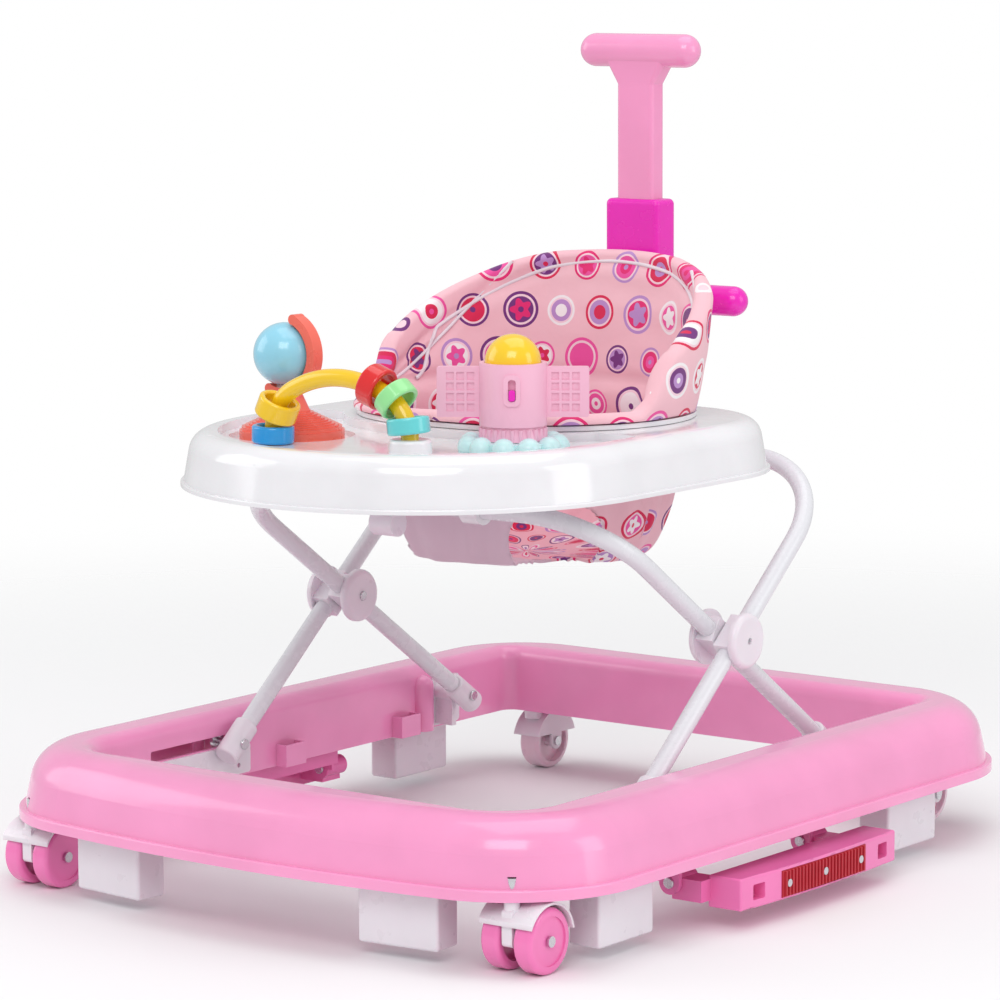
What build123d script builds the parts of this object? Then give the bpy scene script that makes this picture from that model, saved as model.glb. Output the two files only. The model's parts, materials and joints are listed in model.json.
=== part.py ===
"""Baby walker: a bowed base ring on casters, a folding scissor frame, and a play tray with a fabric seat.

Millimetres. +Z is up and the child faces -Y, so "front" is -Y. +X is the child's left.
The origin is on the floor under the middle of the walker. The walker stands at its highest setting.
"""

from build123d import *
import math
import os

# ---------------------------------------------------------------- driving dimensions
SIDES = {"left": 1, "right": -1}
RUN = 0.05  # radial clearance of every turning fit
GAP = 0.4  # space between faces that slide past each other

BASE_HALF_WIDTH = 310
BASE_HALF_LENGTH = 387.5
BASE_FRONT_BOW = 34  # how far the front edge curves forward of its own ends
BASE_BOTTOM = 60
BASE_TOP = 122
BASE_WALL = 3
BASE_TAPER = 12
LIP_HEIGHT = 9
LIP_DEPTH = 3
FRONT_CORNER = 118
REAR_CORNER = 115
OUTER_ROUND = 38
INNER_ROUND = 14
WELL_HALF_WIDTH = 236
WELL_FRONT = -312.5
WELL_REAR = 308.5
WELL_FRONT_CORNER = 48
WELL_REAR_CORNER = 14

TUBE_R = 8
TUBE_WALL = 1.2
CROSS_Y = 23.2
CROSS_Z = 212.8
FOOT_Z = 95
REAR_FRAME_X = 221
REAR_FRAME_ANGLE = 39.9
REAR_FRAME_REACH = 117.2
REAR_FRAME_BEND = 93.1
FRONT_FRAME_X = 202
FRONT_FRAME_ANGLE = 34.9
FRONT_FRAME_REACH = 128.5
FRONT_FRAME_BEND = 81.5
PIN_R = 3
FOLD_SLOT_HEIGHT = 10
FOLD_SLOT_FRONT = -213

TRAY_HALF_WIDTH = 212
TRAY_FRONT = -327.5
TRAY_REAR = 173.5
TRAY_RIM_Z = 347
TRAY_TOP_Z = 393
TRAY_DECK_Z = 386
TRAY_WALL = 3
SEAT_HOLE_HALF_WIDTH = 148
SEAT_HOLE_FRONT = -106
SEAT_HOLE_REAR = 150
SEAT_HOLE_MIDDLE = (SEAT_HOLE_FRONT + SEAT_HOLE_REAR) / 2

WHEEL_R = 27
CASTER_TRAIL = 17
FRONT_CASTER = (257, -342.5)
REAR_CASTER = (216.6, 323.5)
STEM_R = 4
STEM_TOP = 78
AXLE_R = 2.5

ROCKER_X = 267
ROCKER_Z = 38
BAR_LENGTH = 238
BAR_MIDDLE_Y = -4.5
BAR_INNER_X = 293
BAR_OUTER_X = 331
BAR_BULGE = 5
BAR_BOTTOM = 18
BAR_TOP = 45

PUSH_Y = 195.5
PUSH_BAR_Z = 483.5
SOCKET_TOP = 572
HANDLE_TOP = 721

STOP_BOTTOM = 10.8
STOP_TOP = 68
STOP_WEB_TOP = 64
# x, y, width, depth and turn of the blocks on the +X side, front one first
STOP_BLOCKS = (
    (154, -344, 76, 31, 5.5),
    (275, -234, 31, 75, 0),
    (275, 200.5, 31, 80, 0),
)
ROCKER_POSTS = (-115, 35)
CAP_R = 11
CAP_LENGTH = 39
CAP_OVERHANG = 17
BOLT_R = 3
HUB_R = 24
HUB_DISC = 7
EAR_FRONTS = (-141.5, 55.5)
EAR_THICK = 4
ARM_LENGTH = 26
LATCH_X = -22
HINGE_R = 2.5
GRIP_LENGTH = 128
GRIP_RIB_PITCH = 5

TRAY_REAR_CORNER = 120
PLAY_REAR = -62
SHELF_Z = 358
GLOBE_WELL = 4
GLOBE_PLACE = (-101, -177)
GLOBE_CENTRE = (-109, -176, 455)
GLOBE_R = 27
GLOBE_TILT = 24
ARCH_Y = -234.5
ARCH_HALF_SPAN = 73
ARCH_CREST_Z = 446
ARCH_TOP_R = 110
ARCH_SHOULDER_R = 40
ARCH_TUBE_R = 7.5
ARCH_FOOT_Z = 381
BEAD_R = 18
# x, z, slope of its axis in degrees, width and inner radius of each bead
BEADS = {
    "bead_blue": (-73.6, 394.3, 88, 15, 12.5),
    "bead_yellow": (-68.3, 416.3, 65, 17, 13),
    "bead_red": (38, 441, -20, 17, 13),
    "bead_green": (58.5, 432.5, -42, 14, 13.5),
    "bead_turquoise": (71.2, 411, -83, 14, 13),
}
ROCKET_PLACE = (118, -154)
ROCKET_TURN = 35

SEAT_PAD = 14
SEAT_BACK_TOP = 526
SEAT_LEAN = 4
SEAT_FLARE = 20
SLING_BOTTOM = 268
SLING_FLOOR_WIDTH = 200
SLING_FLOOR_LENGTH = 185
LEG_HOLE_PLACE = (80, -45, 300)
LEG_HOLE_R = 42


# ---------------------------------------------------------------- small helpers
def polar(radius, angle):
    """A point at this radius and angle in degrees, as a pair."""
    return (radius * math.cos(math.radians(angle)), radius * math.sin(math.radians(angle)))


def rod(start, direction, radius, length):
    """A round bar from start along direction."""
    plane = Plane(origin=start, z_dir=direction)
    return extrude(plane * Circle(radius), amount=length)


def block(low, high):
    """A box between two corners."""
    size = [b - a for a, b in zip(low, high)]
    middle = [(a + b) / 2 for a, b in zip(low, high)]
    return Pos(*middle) * Box(*size)


def rounded(shape, radius, axis=Axis.Z):
    """The shape with its edges along one axis rounded."""
    return fillet(shape.edges().filter_by(axis), radius)


def softened(shape, radius):
    """The shape with every edge rounded."""
    return fillet(shape.edges(), radius)


def on_side(shape, side):
    """A shape modelled on the +X side, mirrored for the other side."""
    return shape if side > 0 else mirror(shape, about=Plane.YZ)


def both_sides(shape):
    """A shape modelled on the +X side, with its mirror image."""
    return [shape, mirror(shape, about=Plane.YZ)]


# ---------------------------------------------------------------- base ring
def base_outline(inset):
    """The base's outer outline, moved inwards."""
    half_width = BASE_HALF_WIDTH - inset
    front = -BASE_HALF_LENGTH + inset
    rear = BASE_HALF_LENGTH - inset
    corner_y = front + BASE_FRONT_BOW
    edges = [
        ThreePointArc((-half_width, corner_y), (0, front), (half_width, corner_y)),
        Line((half_width, corner_y), (half_width, rear)),
        Line((half_width, rear), (-half_width, rear)),
        Line((-half_width, rear), (-half_width, corner_y)),
    ]
    sketch = Sketch() + make_face(edges)
    rear_corners = sketch.vertices().filter_by_position(Axis.Y, 0, rear + 1)
    sketch = fillet(rear_corners, REAR_CORNER - inset)
    front_corners = sketch.vertices().filter_by_position(Axis.Y, -BASE_HALF_LENGTH, corner_y + 1)
    return fillet(front_corners, FRONT_CORNER - inset)


def well_outline(outset):
    """The opening in the middle of the base, made larger."""
    width = 2 * (WELL_HALF_WIDTH + outset)
    length = WELL_REAR - WELL_FRONT + 2 * outset
    sketch = Pos(0, (WELL_REAR + WELL_FRONT) / 2) * Rectangle(width, length)
    front = sketch.vertices().group_by(Axis.Y)[0]
    sketch = fillet(front, WELL_FRONT_CORNER + outset)
    rear = sketch.vertices().group_by(Axis.Y)[-1]
    return fillet(rear, WELL_REAR_CORNER + outset)


def dome(inset, bottom, top):
    """The solid ring that the base shell is cut from."""
    height = top - bottom
    body = extrude(Pos(0, 0, bottom) * base_outline(inset), amount=height, taper=BASE_TAPER)
    rim = body.faces().sort_by(Axis.Z)[-1].outer_wire().edges()
    body = fillet(rim, OUTER_ROUND - inset)
    body -= extrude(Pos(0, 0, bottom) * well_outline(inset - LIP_DEPTH), amount=height)
    crest = body.faces().sort_by(Axis.Z)[-1].inner_wires()[0].edges()
    return fillet(crest, INNER_ROUND - inset / 2)


def boss(place, bottom, radius):
    """Moulded post that hangs from the underside of the dome."""
    x, y = place
    return rod((x, y, bottom), (0, 0, 1), radius, BASE_TOP - bottom)


def all_bosses():
    posts = [boss(FRONT_CASTER, BASE_BOTTOM, 9), boss(REAR_CASTER, BASE_BOTTOM, 9)]
    posts += [boss((ROCKER_X, y), BASE_BOTTOM, 6) for y in ROCKER_POSTS]
    posts += [boss((x, y), STOP_WEB_TOP, 6) for x, y, width, depth, turn in STOP_BLOCKS]
    return posts


def inner_post():
    """Half-round moulded post beside the rear foot bracket."""
    post = rod((WELL_HALF_WIDTH, 172, BASE_BOTTOM), (0, 0, 1), 11, 42)
    post += Pos(WELL_HALF_WIDTH, 172, BASE_BOTTOM + 42) * Sphere(11)
    return post & block((WELL_HALF_WIDTH - 12, 150, BASE_BOTTOM), (WELL_HALF_WIDTH + 2, 195, BASE_TOP))


def strap_hook(y):
    """Small open catch on the inner wall that holds the folded frame."""
    tray = block((WELL_HALF_WIDTH - 12, y - 14, 60), (WELL_HALF_WIDTH + 1, y + 14, 80))
    return tray - block((WELL_HALF_WIDTH - 10, y - 12, 63), (WELL_HALF_WIDTH + 2, y + 12, 81))


def slide_slot():
    """Slot in the inner wall that the front foot's pin runs in as the frame folds."""
    foot_y = CROSS_Y - (CROSS_Z - FOOT_Z) / math.tan(math.radians(REAR_FRAME_ANGLE))
    low = (WELL_HALF_WIDTH - 1, FOLD_SLOT_FRONT, FOOT_Z - FOLD_SLOT_HEIGHT / 2)
    high = (WELL_HALF_WIDTH + 6, foot_y + 8, FOOT_Z + FOLD_SLOT_HEIGHT / 2)
    return rounded(block(low, high), 2, Axis.X)


def make_base_shell():
    outer = dome(LIP_DEPTH, BASE_BOTTOM, BASE_TOP)
    hollow = dome(LIP_DEPTH + BASE_WALL, BASE_BOTTOM - 1, BASE_TOP - BASE_WALL)
    shell = outer - hollow
    lip = extrude(Pos(0, 0, BASE_BOTTOM) * base_outline(0), amount=LIP_HEIGHT)
    lip -= extrude(Pos(0, 0, BASE_BOTTOM) * base_outline(LIP_DEPTH + 2), amount=LIP_HEIGHT)
    shell += softened_lip(lip)
    for post in all_bosses():
        for one in both_sides(post):
            shell += one & outer
    for place in (FRONT_CASTER, REAR_CASTER):
        depth = STEM_TOP + 2 - BASE_BOTTOM
        bore = Pos(place[0], place[1], BASE_BOTTOM - 1) * extrude(Circle(STEM_R + RUN), amount=depth)
        for hole in both_sides(bore):
            shell -= hole
    for feature in (inner_post(), strap_hook(-29), strap_hook(140)):
        for one in both_sides(feature):
            shell += one
    for slot in both_sides(slide_slot()):
        shell -= slot
    return shell


def softened_lip(lip):
    top = lip.faces().sort_by(Axis.Z)[-1].outer_wire().edges()
    return fillet(top, 1.5)


def stop_block(x, y, width, depth, turn):
    """Hollow anti-slip block that drops onto the floor when a wheel goes over an edge."""
    height = STOP_TOP - STOP_BOTTOM
    bottom = (Align.CENTER, Align.CENTER, Align.MIN)
    body = softened(Box(width, depth, height, align=bottom), 3)
    body -= Pos(0, 0, 3) * Box(width - 5, depth - 5, height, align=bottom)
    body += Box(min(width, 18), min(depth, 18), STOP_WEB_TOP - STOP_BOTTOM, align=bottom)
    body += stop_block_ribs(width, depth)
    return both_sides(Pos(x, y, STOP_BOTTOM) * Rot(0, 0, turn) * body)


def stop_block_ribs(width, depth):
    """A cross of thin ribs that ties the middle post to the block's walls."""
    bottom = (Align.CENTER, Align.CENTER, Align.MIN)
    height = STOP_WEB_TOP - STOP_BOTTOM - 4
    return Box(width - 4, 2, height, align=bottom) + Box(2, depth - 4, height, align=bottom)


def make_front_stop_blocks():
    return stop_block(*STOP_BLOCKS[0])


def make_side_stop_blocks():
    return [block for spec in STOP_BLOCKS[1:] for block in stop_block(*spec)]


# ---------------------------------------------------------------- leg brackets on the base
def front_foot_y():
    return CROSS_Y - (CROSS_Z - FOOT_Z) / math.tan(math.radians(REAR_FRAME_ANGLE))


def rear_foot_y():
    return CROSS_Y + (CROSS_Z - FOOT_Z) / math.tan(math.radians(FRONT_FRAME_ANGLE))


def make_slide_bracket(side):
    """Plate under the slot that the front foot rests beside."""
    plate = block((WELL_HALF_WIDTH - 2.5, -222, 62), (WELL_HALF_WIDTH, -82, 89))
    plate = rounded(plate, 3, Axis.X)
    for y in (-205, -98):
        plate -= rod((WELL_HALF_WIDTH - 3, y, 70), (1, 0, 0), 2.2, 4)
    return on_side(plate, side)


def make_foot_bracket(side):
    """Plate and boss that hold the rear foot's pin."""
    y = rear_foot_y()
    plate = block((WELL_HALF_WIDTH - 2.5, y - 8, 62), (WELL_HALF_WIDTH, y + 34, 108))
    plate = rounded(plate, 4, Axis.X)
    boss_start = FRONT_FRAME_X + CAP_R + GAP
    plate += rod((boss_start, y, FOOT_Z), (1, 0, 0), 7.5, WELL_HALF_WIDTH - boss_start)
    plate += block((boss_start, y - 3, 64), (WELL_HALF_WIDTH - 1, y + 3, FOOT_Z))
    plate -= rod((boss_start - 1, y, FOOT_Z), (1, 0, 0), PIN_R, 40)
    return on_side(plate, side)


def pin_with_head(start, direction, radius, length, head_radius, head):
    """A round pin with a domed head at its start."""
    pin = rod(start, direction, radius, length)
    cap = rod(start, direction, head_radius, head)
    rims = cap.edges().filter_by(GeomType.CIRCLE)
    outer_rim = min(rims, key=lambda edge: (edge.arc_center - Vector(*start)).length)
    return pin + fillet(outer_rim, head * 0.6)


def make_rear_foot_pins():
    start = (FRONT_FRAME_X - CAP_R - GAP - 2, rear_foot_y(), FOOT_Z)
    return both_sides(pin_with_head(start, (1, 0, 0), PIN_R - 0.02, WELL_HALF_WIDTH - 1 - start[0], 5, 2))


def make_front_slide_pins():
    """Pins that join each front foot to its slot, with a washer behind the wall."""
    start = (REAR_FRAME_X - CAP_R - 2, front_foot_y(), FOOT_Z)
    end = WELL_HALF_WIDTH + BASE_WALL + 6
    pin = pin_with_head(start, (1, 0, 0), PIN_R - 0.02, end - start[0], 5, 2)
    pin += rod((WELL_HALF_WIDTH + BASE_WALL + 1.5, start[1], FOOT_Z), (1, 0, 0), 8, 3)
    return both_sides(pin)


# ---------------------------------------------------------------- scissor frame
def leg_point(angle, forward, reach):
    """A point on a leg's centreline, measured up the leg from the crossing."""
    c = math.cos(math.radians(angle))
    s = math.sin(math.radians(angle))
    return (CROSS_Y + forward * c * reach, CROSS_Z + s * reach)


def frame_path(half_width, angle, forward, reach, bend, foot_reach):
    """The U-shaped centreline of one frame: up one leg, across and down the other."""
    c = math.cos(math.radians(angle))
    s = math.sin(math.radians(angle))
    plane = Plane(origin=(0, CROSS_Y, CROSS_Z), x_dir=(1, 0, 0), z_dir=(0, -s, forward * c))
    up = 1 if plane.y_dir.Z > 0 else -1
    outline = FilletPolyline(
        (half_width, -up * foot_reach),
        (half_width, up * (reach + bend)),
        (-half_width, up * (reach + bend)),
        (-half_width, -up * foot_reach),
        radius=bend,
    )
    return plane * outline


def frame_tube(half_width, angle, forward, reach, bend, foot_reach):
    """A bent steel tube along the frame's centreline, drilled for its pivots."""
    path = frame_path(half_width, angle, forward, reach, bend, foot_reach + CAP_OVERHANG - 3)
    start = Plane(origin=path @ 0, z_dir=path % 0)
    tube = sweep(start * Circle(TUBE_R), path=path) - sweep(start * Circle(TUBE_R - TUBE_WALL), path=path)
    foot_y, foot_z = leg_point(angle, forward, -foot_reach)
    for y, z, radius in ((CROSS_Y, CROSS_Z, BOLT_R + RUN), (foot_y, foot_z, PIN_R + RUN)):
        tube -= rod((-half_width - 20, y, z), (1, 0, 0), radius, 2 * half_width + 40)
    return tube


def foot_reach(angle):
    """Distance from the crossing down the leg to the foot's pin."""
    return (CROSS_Z - FOOT_Z) / math.sin(math.radians(angle))


def make_front_frame_tube():
    reach = foot_reach(FRONT_FRAME_ANGLE)
    return frame_tube(FRONT_FRAME_X, FRONT_FRAME_ANGLE, -1, FRONT_FRAME_REACH, FRONT_FRAME_BEND, reach)


def make_rear_frame_tube():
    reach = foot_reach(REAR_FRAME_ANGLE)
    return frame_tube(REAR_FRAME_X, REAR_FRAME_ANGLE, 1, REAR_FRAME_REACH, REAR_FRAME_BEND, reach)


def foot_cap(half_width, angle, forward):
    """Plastic cap over the end of a leg, drilled for the pin."""
    c = math.cos(math.radians(angle))
    s = math.sin(math.radians(angle))
    direction = (0, forward * c, s)
    reach = foot_reach(angle)
    low_y, low_z = leg_point(angle, forward, -reach - CAP_OVERHANG)
    cap = rod((half_width, low_y, low_z), direction, CAP_R, CAP_LENGTH)
    cap = fillet(cap.edges().filter_by(GeomType.CIRCLE), 2)
    hole_y, hole_z = leg_point(angle, forward, -reach - CAP_OVERHANG + 3)
    cap -= rod((half_width, hole_y, hole_z), direction, TUBE_R + 0.02, CAP_LENGTH)
    foot_y, foot_z = leg_point(angle, forward, -reach)
    cap -= rod((half_width - 20, foot_y, foot_z), (1, 0, 0), PIN_R + RUN, 40)
    return cap


def make_rear_foot_caps():
    return both_sides(foot_cap(FRONT_FRAME_X, FRONT_FRAME_ANGLE, -1))


def make_front_foot_caps():
    return both_sides(foot_cap(REAR_FRAME_X, REAR_FRAME_ANGLE, 1))


def hub(half_width, angle, forward, outward):
    """Round pivot hub that clips over a leg at the crossing and covers it with a disc."""
    c = math.cos(math.radians(angle))
    s = math.sin(math.radians(angle))
    direction = (0, forward * c, s)
    disc_side = half_width + outward * TUBE_R
    disc = rod((disc_side, CROSS_Y, CROSS_Z), (outward, 0, 0), HUB_R, HUB_DISC)
    outer_rim = max(disc.edges().filter_by(GeomType.CIRCLE), key=lambda edge: outward * edge.arc_center.X)
    disc = fillet(outer_rim, HUB_DISC * 0.7)
    plane = Plane(origin=(half_width, CROSS_Y, CROSS_Z), x_dir=(1, 0, 0), z_dir=direction)
    saddle = plane * Box(2 * TUBE_R + 1.8, 2 * TUBE_R + 7, 1.5 * HUB_R)
    near = half_width - outward * (TUBE_R + 0.9)
    keep = block(
        (min(near, disc_side + outward), CROSS_Y - 60, CROSS_Z - 60),
        (max(near, disc_side + outward), CROSS_Y + 60, CROSS_Z + 60),
    )
    shape = disc + (saddle & keep)
    shape -= plane * extrude(Circle(TUBE_R + 0.02), amount=60, both=True)
    shape -= rod((half_width - 30, CROSS_Y, CROSS_Z), (1, 0, 0), BOLT_R + RUN, 60)
    return shape


def make_outer_hubs():
    return both_sides(hub(REAR_FRAME_X, REAR_FRAME_ANGLE, 1, 1))


def make_inner_hubs():
    return both_sides(hub(FRONT_FRAME_X, FRONT_FRAME_ANGLE, -1, -1))


def make_pivot_bolts():
    start = FRONT_FRAME_X - TUBE_R - HUB_DISC - 1.5
    end = REAR_FRAME_X + TUBE_R + HUB_DISC - 2
    bolt = pin_with_head((start, CROSS_Y, CROSS_Z), (1, 0, 0), BOLT_R, end - start, 4.5, 1.5)
    return both_sides(bolt)


# ---------------------------------------------------------------- casters
def twin_caster_housing(place):
    """Body of a twin-wheel caster: stem collar, centre web and a hood over both wheels."""
    x, y = place
    axle_y = y + CASTER_TRAIL
    web = rod((x - 5, axle_y, WHEEL_R), (1, 0, 0), 12, 10)
    collar = rod((x, y, 40), (0, 0, 1), 6.4, BASE_BOTTOM - GAP - 40)
    neck = block((x - 5, y - 7, WHEEL_R - 4), (x + 5, axle_y + 2, 54))
    neck = rounded(neck, 4, Axis.X)
    hood = rod((x - 26, axle_y, WHEEL_R), (1, 0, 0), WHEEL_R + 4.2, 52)
    hood -= rod((x - 27, axle_y, WHEEL_R), (1, 0, 0), WHEEL_R + 2.2, 54)
    hood &= block((x - 27, y - 9, WHEEL_R + 6), (x + 27, axle_y + 33, 60))
    shape = collar + web + neck + hood
    shape -= rod((x - 30, axle_y, WHEEL_R), (1, 0, 0), AXLE_R + 0.02, 60)
    return shape - rod((x, y, 34), (0, 0, 1), STEM_R + 0.02, 40)


def single_caster_housing(place):
    """Body of a single-wheel caster: stem collar, two cheeks and a hood over the wheel."""
    x, y = place
    axle_y = y + CASTER_TRAIL
    radius = WHEEL_R + 4
    shell = rod((x - 15, axle_y, WHEEL_R), (1, 0, 0), radius, 30)
    shell &= block((x - 16, y - 16, WHEEL_R + 8), (x + 16, axle_y + 40, 58))
    cheek = rod((x - 15, axle_y, WHEEL_R), (1, 0, 0), 8, 30)
    shell += cheek + block((x - 15, axle_y - 8, WHEEL_R), (x + 15, axle_y + 8, WHEEL_R + 12))
    shell += rod((x, y, 51), (0, 0, 1), 9, BASE_BOTTOM - GAP - 51)
    shell -= rod((x - 12, axle_y, WHEEL_R), (1, 0, 0), WHEEL_R + 1.6, 24)
    shell -= rod((x - 30, axle_y, WHEEL_R), (1, 0, 0), AXLE_R + 0.02, 60)
    return shell - rod((x, y, 51.5), (0, 0, 1), STEM_R + 0.02, 40)


def caster_pins(place, axle_half, stem_low):
    """The caster's steel axle and its stem."""
    x, y = place
    axle = rod((x - axle_half, y + CASTER_TRAIL, WHEEL_R), (1, 0, 0), AXLE_R, 2 * axle_half)
    for side in (-1, 1):
        axle += rod((x + side * axle_half, y + CASTER_TRAIL, WHEEL_R), (-side, 0, 0), 4.5, 1.6)
    stem = rod((x, y, stem_low), (0, 0, 1), STEM_R, STEM_TOP - stem_low)
    return [axle, stem]


def twin_wheel(place, side):
    """One wheel of a twin caster, dished on its outer face."""
    x, y = place
    centre = (x + side * 16, y + CASTER_TRAIL, WHEEL_R)
    wheel = rod((centre[0] - side * 9, centre[1], centre[2]), (side, 0, 0), WHEEL_R, 18)
    wheel = fillet(wheel.edges().filter_by(GeomType.CIRCLE), 4)
    face_x = x + side * 25
    wheel -= rod((face_x, centre[1], centre[2]), (-side, 0, 0), 20, 1.5)
    wheel -= rod((x + side * 7, centre[1], centre[2]), (side, 0, 0), 20, 8)
    wheel += rod((x + side * 7, centre[1], centre[2]), (side, 0, 0), 6, 10)
    return wheel - rod((x, centre[1], centre[2]), (side, 0, 0), AXLE_R + RUN, 40)


def single_wheel(place):
    """Rear caster's wheel, with a web between its hub and rim."""
    x, y = place
    axle_y = y + CASTER_TRAIL
    wheel = rod((x - 11, axle_y, WHEEL_R), (1, 0, 0), WHEEL_R, 22)
    wheel = fillet(wheel.edges().filter_by(GeomType.CIRCLE), 4)
    for start in (x - 11, x + 11):
        direction = (1, 0, 0) if start < x else (-1, 0, 0)
        wheel -= rod((start, axle_y, WHEEL_R), direction, 21, 7)
    wheel += rod((x - 11.5, axle_y, WHEEL_R), (1, 0, 0), 6, 23)
    return wheel - rod((x - 20, axle_y, WHEEL_R), (1, 0, 0), AXLE_R + RUN, 40)


def caster_place(place, side):
    return (side * place[0], place[1])


# ---------------------------------------------------------------- fold-down rocker bars
def make_rocker_bracket(side):
    """Channel under the side rail with two ears that carry a rocker bar."""
    plate = block((252, -141.5, 57), (282, 62, BASE_BOTTOM))
    web = block((250, -141.5, 44), (253, 62, 58))
    shape = plate + web
    for y in EAR_FRONTS:
        ear = rod((ROCKER_X, y, ROCKER_Z), (0, 1, 0), 10, EAR_THICK)
        ear += block((252, y, ROCKER_Z), (ROCKER_X + 10, y + EAR_THICK, 58))
        shape += ear
    shape -= rod((ROCKER_X, -160, ROCKER_Z), (0, 1, 0), HINGE_R, 240)
    return on_side(shape, side)


def make_rocker_hinge_pins():
    pins = []
    for y in EAR_FRONTS:
        start = (ROCKER_X, y - 2, ROCKER_Z)
        pins += both_sides(pin_with_head(start, (0, 1, 0), HINGE_R - 0.02, ARM_LENGTH + EAR_THICK, 5, 2))
    return pins


def make_rocker_bar(side):
    """Bowed bar that swings down under the base to turn the walker into a rocker."""
    front = BAR_MIDDLE_Y - BAR_LENGTH / 2
    rear = BAR_MIDDLE_Y + BAR_LENGTH / 2
    end_x = BAR_OUTER_X - BAR_BULGE
    outline = [
        Line((BAR_INNER_X, front), (end_x, front)),
        ThreePointArc((end_x, front), (BAR_OUTER_X, BAR_MIDDLE_Y), (end_x, rear)),
        Line((end_x, rear), (BAR_INNER_X, rear)),
        Line((BAR_INNER_X, rear), (BAR_INNER_X, front)),
    ]
    bar = extrude(Pos(0, 0, BAR_BOTTOM) * make_face(outline), amount=BAR_TOP - BAR_BOTTOM)
    bar = softened(bar, 2)
    for end_y in (front + 24, rear - 24):
        pocket = block((BAR_OUTER_X - 14, end_y - 8, 25), (BAR_OUTER_X + 2, end_y + 8, 38))
        bar -= rounded(pocket, 1.5, Axis.X)
    bar -= block((BAR_INNER_X + 4, front + 14, BAR_BOTTOM - 1), (BAR_OUTER_X - 24, rear - 14, BAR_TOP - 4))
    seat_y = GRIP_LENGTH / 2 + 0.3
    bar -= block((BAR_OUTER_X - 4, BAR_MIDDLE_Y - seat_y, 20), (BAR_OUTER_X + 2, BAR_MIDDLE_Y + seat_y, 43))
    for y in EAR_FRONTS:
        start = y + EAR_THICK + GAP
        arm = rod((ROCKER_X, start, ROCKER_Z), (0, 1, 0), 9, ARM_LENGTH - GAP)
        arm += block((ROCKER_X, start, 24), (BAR_INNER_X + 3, start + ARM_LENGTH - GAP, 42))
        arm -= rod((ROCKER_X, start - 1, ROCKER_Z), (0, 1, 0), HINGE_R + RUN, ARM_LENGTH + 2)
        bar += arm
    return on_side(bar, side)


def make_rocker_grip(side):
    """Ribbed rubber strip let into the bar's outer face."""
    front = BAR_MIDDLE_Y - GRIP_LENGTH / 2
    strip = block((BAR_OUTER_X - 4, front, 20.3), (BAR_OUTER_X - 0.5, front + GRIP_LENGTH, 42.7))
    ribs = int(GRIP_LENGTH / GRIP_RIB_PITCH)
    first = BAR_MIDDLE_Y - (ribs - 1) * GRIP_RIB_PITCH / 2
    for i in range(ribs):
        y = first + i * GRIP_RIB_PITCH
        strip += block((BAR_OUTER_X - 1, y - 1.1, 21), (BAR_OUTER_X + 1.3, y + 1.1, 42))
    for y in grip_screw_places():
        strip -= rod((BAR_OUTER_X - 5, y, 31.5), (1, 0, 0), 3.4, 10)
    return on_side(strip, side)


def grip_screw_places():
    spacing = GRIP_LENGTH / 2 - 9
    return [BAR_MIDDLE_Y + step * spacing for step in (-1, 0, 1)]


def make_grip_screws(side):
    screws = []
    for y in grip_screw_places():
        screw = rod((BAR_OUTER_X - 4, y, 31.5), (1, 0, 0), 3.3, 5)
        screws.append(on_side(screw, side))
    return screws


# ---------------------------------------------------------------- tray
def tray_outline(inset):
    """The tray's outline: a round front and a flatter back with large corners."""
    half_width = TRAY_HALF_WIDTH - inset
    width = 2 * half_width
    front = TRAY_FRONT + inset
    rear = TRAY_REAR - inset
    sketch = Pos(0, (front + rear) / 2) * Rectangle(width, rear - front)
    sketch = fillet(sketch.vertices().group_by(Axis.Y)[0], half_width - 0.5)
    return fillet(sketch.vertices().group_by(Axis.Y)[-1], TRAY_REAR_CORNER - inset)


def seat_hole_outline(outset):
    """The seat opening, an oval of two half circles."""
    radius = SEAT_HOLE_HALF_WIDTH - 20 + outset
    length = SEAT_HOLE_REAR - SEAT_HOLE_FRONT + 2 * outset
    width = 2 * (SEAT_HOLE_HALF_WIDTH + outset)
    sketch = Pos(0, (SEAT_HOLE_REAR + SEAT_HOLE_FRONT) / 2) * Rectangle(width, length)
    return fillet(sketch.vertices(), min(radius, length / 2 - 0.5))


def tray_solid(inset, top):
    body = extrude(Pos(0, 0, TRAY_RIM_Z - inset) * tray_outline(inset + 2), amount=top - TRAY_RIM_Z + inset, taper=10)
    rim = body.faces().sort_by(Axis.Z)[-1].outer_wire().edges()
    return fillet(rim, 18 - inset)


def play_area():
    """The sunken part of the deck in front of the seat, where the toys stand."""
    sketch = tray_outline(32)
    depth = PLAY_REAR - TRAY_FRONT
    sketch &= Pos(0, PLAY_REAR - depth / 2) * Rectangle(2 * TRAY_HALF_WIDTH, depth)
    sketch -= seat_hole_outline(16)
    rear_corners = [vertex for vertex in sketch.vertices() if vertex.Y > PLAY_REAR - 1]
    return fillet(rear_corners, 6)


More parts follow.
